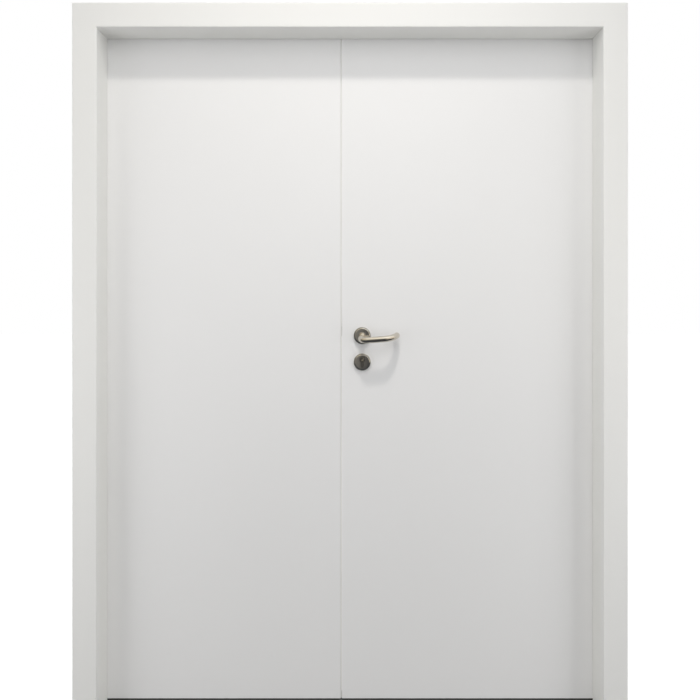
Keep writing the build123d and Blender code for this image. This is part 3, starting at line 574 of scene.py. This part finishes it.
pick(plug, "EDGE", lambda co: co.y < plug_low.y + hair)
bpy.ops.mesh.bevel(offset=plug_edge, segments=2, profile=0.5)
pick(plug, "FACE", lambda f: f.normal.y < -0.9 and len(f.vertices) > 8)
for width, height in ((land, 0.0), (groove, -groove_depth), (groove, groove_return), (land, 0.0)):
    bpy.ops.mesh.inset(thickness=width, depth=height)
# four rings, each 1 mm wide, dish the middle
for lean in (0.20, 0.21, 0.21, 0.20):
    bpy.ops.mesh.inset(thickness=1.0 * MM, depth=-lean * MM)
bpy.ops.object.mode_set(mode="OBJECT")
start_piece()
bpy.ops.mesh.primitive_cube_add(size=1.0, location=(key_x, plug_low.y, (keyway_low + keyway_high) / 2))
broach = bpy.context.object
broach.scale = (keyway_width, 2 * keyway_depth, keyway_high - keyway_low)
bpy.ops.object.transform_apply(location=True, rotation=True, scale=True)
bpy.ops.object.mode_set(mode="EDIT")
# the keyway narrows inwards to a tenth of its width
pick(broach, "FACE", lambda f: f.normal.y > 0.9)
bpy.ops.transform.resize(value=(0.1, 1.0, 1.0))
bpy.ops.object.mode_set(mode="OBJECT")
apply_modifier(plug, "BOOLEAN", operation="DIFFERENCE", object=broach, solver="EXACT")
bpy.data.objects.remove(broach)
settle(plug)
plug.data.materials.append(plug_nickel_painted_highlight)
plug_far = far_side(plug, "plug_turned_back")
for piece, body, node in (
    (plug, "front_plug", "cylinder_plug_front"), (plug_far, "back_plug", "cylinder_plug_back")
):
    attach(piece, body)
    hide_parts(node)

# ---- Levers ----
# Stainless tube, bent at the neck and again where its end turns back to the leaf, then satined.
# Each is welded to a short neck with a shoulder that covers the rose's hole.
lever_steel = brushed_steel("stainless_satin_lever", "#cfc9be", 0.14, (0.02, 1.0, 1.0))
leaf_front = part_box("right_front_skin")[0][1]
spindle_low, spindle_high = (Vector(c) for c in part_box("spindle"))
hub_x = (spindle_low.x + spindle_high.x) / 2
hub_z = (spindle_low.z + spindle_high.z) / 2
tube_radius = 9.0 * MM
tube_end_ease = 3.5 * MM
neck_bend = 16.0 * MM
return_bend = 50.0 * MM
neck_radius = 8.5 * MM
neck_ease = 0.5 * MM
shoulder_radius = 10.4 * MM
shoulder_ease = 0.6 * MM


def on_leaf(across, up, off):
    """A point in millimetres across and up from the lever's axis, and off the leaf's front face."""
    return Vector((hub_x + across * MM, leaf_front - off * MM, hub_z + up * MM))


route = [
    on_leaf(0.0, 0.0, 10.0), on_leaf(-6.0, -12.0, 50.0),
    on_leaf(88.5, -5.8, 50.0), on_leaf(102.5, 2.2, 12.0),
]
start_piece()
heading = (route[1] - route[0]).normalized()
bpy.ops.mesh.primitive_circle_add(
    vertices=48, radius=tube_radius, fill_type="NOTHING",
    location=route[0], rotation=heading.to_track_quat("Z", "Y").to_euler(),
)
lever = bpy.context.object
lever.name = "lever_tube_front"
bpy.ops.object.transform_apply(location=True, rotation=True, scale=True)
bpy.ops.object.mode_set(mode="EDIT")
bpy.ops.mesh.select_mode(type="EDGE")
bpy.ops.mesh.select_all(action="SELECT")
reached = route[0]
# each bend is spun about the axis square to both its arms
for corner, after, bend in zip(route[1:-1], route[2:], (neck_bend, return_bend)):
    turned = (after - corner).normalized()
    turn = heading.angle(turned)
    normal = heading.cross(turned).normalized()
    start = corner - heading * bend * tan(turn / 2)
    bpy.ops.mesh.extrude_region_move(TRANSFORM_OT_translate={"value": start - reached})
    bpy.ops.mesh.spin(
        steps=18, angle=turn, center=start + normal.cross(heading) * bend, axis=-normal
    )
    reached = corner + turned * bend * tan(turn / 2)
    heading = turned
bpy.ops.mesh.extrude_region_move(TRANSFORM_OT_translate={"value": route[-1] - reached})
# both ends are closed: the free one with an eased rim, the welded one flat
bpy.ops.mesh.edge_face_add()
bpy.ops.mesh.bevel(offset=tube_end_ease, segments=6, profile=0.5)
pick(lever, "VERT", lambda co: (co - route[0]).length < tube_radius + hair)
bpy.ops.mesh.edge_face_add()
bpy.ops.object.mode_set(mode="OBJECT")


def turned_bar(radius, near, far, ease):
    """A round bar square to the leaf, between two distances off it in mm, with its outer rim eased."""
    start_piece()
    bpy.ops.mesh.primitive_cylinder_add(
        vertices=64, radius=radius, depth=(far - near) * MM,
        location=on_leaf(0.0, 0.0, (near + far) / 2), rotation=(pi / 2, 0.0, 0.0),
    )
    bar = bpy.context.object
    bpy.ops.object.transform_apply(location=True, rotation=True, scale=True)
    bpy.ops.object.mode_set(mode="EDIT")
    pick(bar, "EDGE", lambda co: co.y < leaf_front - far * MM + hair)
    bpy.ops.mesh.bevel(offset=ease, segments=4, profile=0.5)
    bpy.ops.object.mode_set(mode="OBJECT")
    return bar


neck = turned_bar(neck_radius, 1.0, 12.5, neck_ease)
shoulder = turned_bar(shoulder_radius, 9.3, 12.8, shoulder_ease)
start_piece()
for piece in (neck, shoulder, lever):
    piece.select_set(True)
bpy.context.view_layer.objects.active = lever
bpy.ops.object.join()
settle(lever)
lever.data.materials.append(lever_steel)
lever_far = far_side(lever, "lever_tube_back")
for piece, node in ((lever, "lever_front"), (lever_far, "lever_back")):
    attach(piece, "handle")
    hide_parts(node)

# ---- Floor ----
# A plain pale floor of painted board, on which the door stands and casts its shadow, with painted shade
# darkening it where the door comes near.
# It is lifted to the backdrop's white for the eye alone, so that it throws no more light on the door.
low, high = (Vector(corner) for corner in cad_box)
middle = (low + high) / 2


def plain_plate(name, size, height):
    """A flat square of the studio."""
    start_piece()
    bpy.ops.mesh.primitive_plane_add(size=size, location=(middle.x, middle.y, height))
    plate = bpy.context.object
    plate.name = name
    bpy.ops.object.transform_apply(location=True, rotation=True, scale=True)
    return plate


def seen_by_eye(tree):
    """Is 1 where the camera looks, straight, by a mirror or through glass, and 0 for other light."""
    path = add(tree, "ShaderNodeLightPath")
    seen = add(
        tree, "ShaderNodeMath",
        {0: path.outputs["Is Camera Ray"], 1: path.outputs["Is Glossy Ray"]}, operation="MAXIMUM",
    )
    seen = add(
        tree, "ShaderNodeMath",
        {0: seen.outputs["Value"], 1: path.outputs["Is Transmission Ray"]}, operation="MAXIMUM",
    )
    return seen.outputs["Value"]


floor = plain_plate("floor", 40.0, 0.0)
# rolled paint, flat and even: a plain white ground, marked by the door's cast shadow and by a contact
# shade painted in from occlusion
floor_paint, tree = surface("floor_paint_rolled")
# what lies within 12 mm of the floor takes its lift away, so that the gap under the leaves stays dark; the
# same occlusion darkens the paint's own colour there, a painted shade under the leaves and round the
# door's feet
near = add(tree, "ShaderNodeAmbientOcclusion", {"Color": linear("#a2a2a2"), "Distance": 0.012})
clear = add(
    tree, "ShaderNodeMapRange",
    {"Value": near.outputs["AO"], "From Min": 0.7, "From Max": 0.95, "To Max": 0.88},
)
lift = add(
    tree, "ShaderNodeMath", {0: seen_by_eye(tree), 1: clear.outputs["Result"]}, operation="MULTIPLY"
)
glow = add(tree, "ShaderNodeEmission", {"Strength": lift.outputs["Value"]})
# the paint takes the occlusion's darkened colour: painted shade near the door
pale = add(tree, "ShaderNodeBsdfDiffuse", {"Color": near.outputs["Color"]})
both = add(tree, "ShaderNodeAddShader", {0: pale.outputs["BSDF"], 1: glow.outputs["Emission"]})
close_surface(tree, both.outputs["Shader"])
floor.data.materials.append(floor_paint)

# ---- Room in the metal ----
# Glowing cards stand for the room that the steel mirrors: a ring round the door, a ground and a ceiling.
# They are no lamps and are seen in reflections alone: painted reflections that give the metal its dark
# faces and bright rims.


def glossy_only(card):
    """Leaves a studio card out of everything but reflections."""
    card.visible_camera = False
    card.visible_diffuse = False
    card.visible_transmission = False
    card.visible_volume_scatter = False
    card.visible_shadow = False


ring_radius = 4.0
ring_height = 3.0
start_piece()
bpy.ops.mesh.primitive_cylinder_add(
    vertices=96, radius=ring_radius, depth=ring_height, end_fill_type="NOTHING",
    location=(middle.x, middle.y, ring_height / 2),
)
room = bpy.context.object
room.name = "room_ring"
bpy.ops.object.transform_apply(location=True, rotation=True, scale=True)
glossy_only(room)
# a glowing card seen only in reflections, painted warm grey on the left and dark on the right, with a
# bright window far right and a paler top: painted reflections
room_reflection_glow, tree = surface("room_painted_reflection_glow")
place = add(tree, "ShaderNodeTexCoord").outputs["Object"]
axes = add(tree, "ShaderNodeSeparateXYZ", {"Vector": place})
across = add(
    tree, "ShaderNodeMapRange",
    {"Value": axes.outputs["X"], "From Min": -ring_radius, "From Max": ring_radius},
)
tones = add(tree, "ShaderNodeValToRGB", {"Fac": across.outputs["Result"]})
ramp = tones.color_ramp
ramp.elements[0].color = linear("#7a756d")
ramp.elements[1].color = linear("#4e4d4c")
for share, tone in ((0.42, "#8b8883"), (0.60, "#454446")):
    ramp.elements.new(share).color = linear(tone)
aside = add(tree, "ShaderNodeMapRange", {"Value": axes.outputs["X"], "From Min": 1.7, "From Max": 2.4})
above = add(tree, "ShaderNodeMapRange", {"Value": axes.outputs["Z"], "From Min": 0.45, "From Max": 0.75})
window = add(
    tree, "ShaderNodeMath", {0: aside.outputs["Result"], 1: above.outputs["Result"]}, operation="MULTIPLY"
)
tones = add(
    tree, "ShaderNodeMix",
    {"Factor": window.outputs["Value"], "A": tones.outputs["Color"], "B": [1.15, 1.05, 0.9, 1.0]},
    data_type="RGBA",
)
rise = add(
    tree, "ShaderNodeMapRange", {"Value": axes.outputs["Z"], "From Min": 1.3, "From Max": ring_height}
)
tone = add(
    tree, "ShaderNodeMix",
    {"Factor": rise.outputs["Result"], "A": tones.outputs["Result"], "B": linear("#b6b2a8")},
    data_type="RGBA",
)
shade = add(tree, "ShaderNodeEmission", {"Color": tone.outputs["Result"], "Strength": 1.0})
close_surface(tree, shade.outputs["Emission"])
room.data.materials.append(room_reflection_glow)

ground = plain_plate("room_ground", 2 * ring_radius, 0.001)
glossy_only(ground)
# a dark blue-grey glowing card, seen only in reflections: a painted dark reflection on what faces down
ground_reflection_glow, tree = surface("ground_painted_reflection_glow")
shade = add(tree, "ShaderNodeEmission", {"Color": linear("#474a4f"), "Strength": 1.0})
close_surface(tree, shade.outputs["Emission"])
ground.data.materials.append(ground_reflection_glow)

ceiling = plain_plate("room_ceiling", 2 * ring_radius, ring_height)
glossy_only(ceiling)
# a glowing ceiling card, warmer on the left and seen only in reflections: the painted reflection that
# gives the bright line along the lever and the rims
ceiling_reflection_glow, tree = surface("ceiling_painted_reflection_glow")
place = add(tree, "ShaderNodeTexCoord").outputs["Object"]
axes = add(tree, "ShaderNodeSeparateXYZ", {"Vector": place})
across = add(tree, "ShaderNodeMapRange", {"Value": axes.outputs["X"], "From Min": -0.6, "From Max": 0.6})
tone = add(
    tree, "ShaderNodeMix",
    {"Factor": across.outputs["Result"], "A": linear("#c6beae"), "B": linear("#f6f4ee")},
    data_type="RGBA",
)
shade = add(tree, "ShaderNodeEmission", {"Color": tone.outputs["Result"], "Strength": 1.6})
close_surface(tree, shade.outputs["Emission"])
ceiling.data.materials.append(ceiling_reflection_glow)

# ---- Lamps and backdrop ----
# A warm lamp hangs high before the door and draws the head's shadow on the leaves.
# Soft square lamps fill in from above, from the front, from both sides and from behind.
# The backdrop is white to the eye, and lights the door evenly and less strongly all round.


def stand_lamp(data, place, aim):
    """Puts a lamp at a place, turned to a point."""
    made = bpy.data.objects.new(data.name, data)
    bpy.context.scene.collection.objects.link(made)
    made.location = place
    made.rotation_euler = (Vector(aim) - Vector(place)).to_track_quat("-Z", "Y").to_euler()
    return made


def fill_lamp(name, size, power, place, aim):
    """A large soft square lamp, which metal doesn't mirror."""
    data = bpy.data.lights.new(name, "AREA")
    data.shape = "SQUARE"
    data.size = size
    data.energy = power
    stand_lamp(data, place, aim).visible_glossy = False


leaf_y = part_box("left_front_skin")[0][1]
key = bpy.data.lights.new("key_lamp", "SPOT")
key.energy = 185.0
key.color = (1.0, 0.96, 0.90)
key.spot_size = radians(56)
key.spot_blend = 1.0
key.shadow_soft_size = 0.13
stand_lamp(key, (0.0, leaf_y - 1.5, 4.4), (0.0, leaf_y, 0.2)).visible_glossy = False
fill_lamp("top_lamp", 2.4, 17.9, (0.0, leaf_y - 2.0, 3.6), (0.0, leaf_y, 1.2))
fill_lamp("front_lamp", 0.8, 3.9, (0.0, leaf_y - 1.4, 1.9), (0.0, leaf_y, 1.5))
fill_lamp("left_lamp", 1.0, 8.8, (-1.9, leaf_y - 1.0, 0.8), (0.0, leaf_y, 0.8))
fill_lamp("right_lamp", 1.0, 8.8, (1.9, leaf_y - 1.0, 0.8), (0.0, leaf_y, 0.8))
fill_lamp("back_lamp", 2.4, 75.0, (0.0, 3.2, 2.0), (0.0, 0.0, 1.0))

backdrop_light = 0.4
backdrop = bpy.data.worlds.new("studio")
bpy.context.scene.world = backdrop
backdrop.use_nodes = True
tree = backdrop.node_tree
tree.nodes.clear()
tone = add(
    tree, "ShaderNodeMix",
    {"Factor": seen_by_eye(tree), "A": [backdrop_light] * 3 + [1.0], "B": [1.0] * 4},
    data_type="RGBA",
)
sky = add(tree, "ShaderNodeBackground", {"Color": tone.outputs["Result"], "Strength": 1.0})
add(tree, "ShaderNodeOutputWorld", {"Surface": sky.outputs["Background"]})

# ---- Camera ----
# It stands square on to the door at chest height, close, with a wide lens.
# A small downward shift frames the door from its head to the floor.
view = bpy.data.cameras.new("view")
view.sensor_width = 36.0
view.lens = 27.2
view.shift_y = -0.063
camera = bpy.data.objects.new("view", view)
bpy.context.scene.collection.objects.link(camera)
camera.location = (middle.x, low.y - 1.498, 1.171)
camera.rotation_euler = (pi / 2, 0.0, 0.0)
bpy.context.scene.camera = camera
bpy.context.scene.view_settings.view_transform = "Standard"
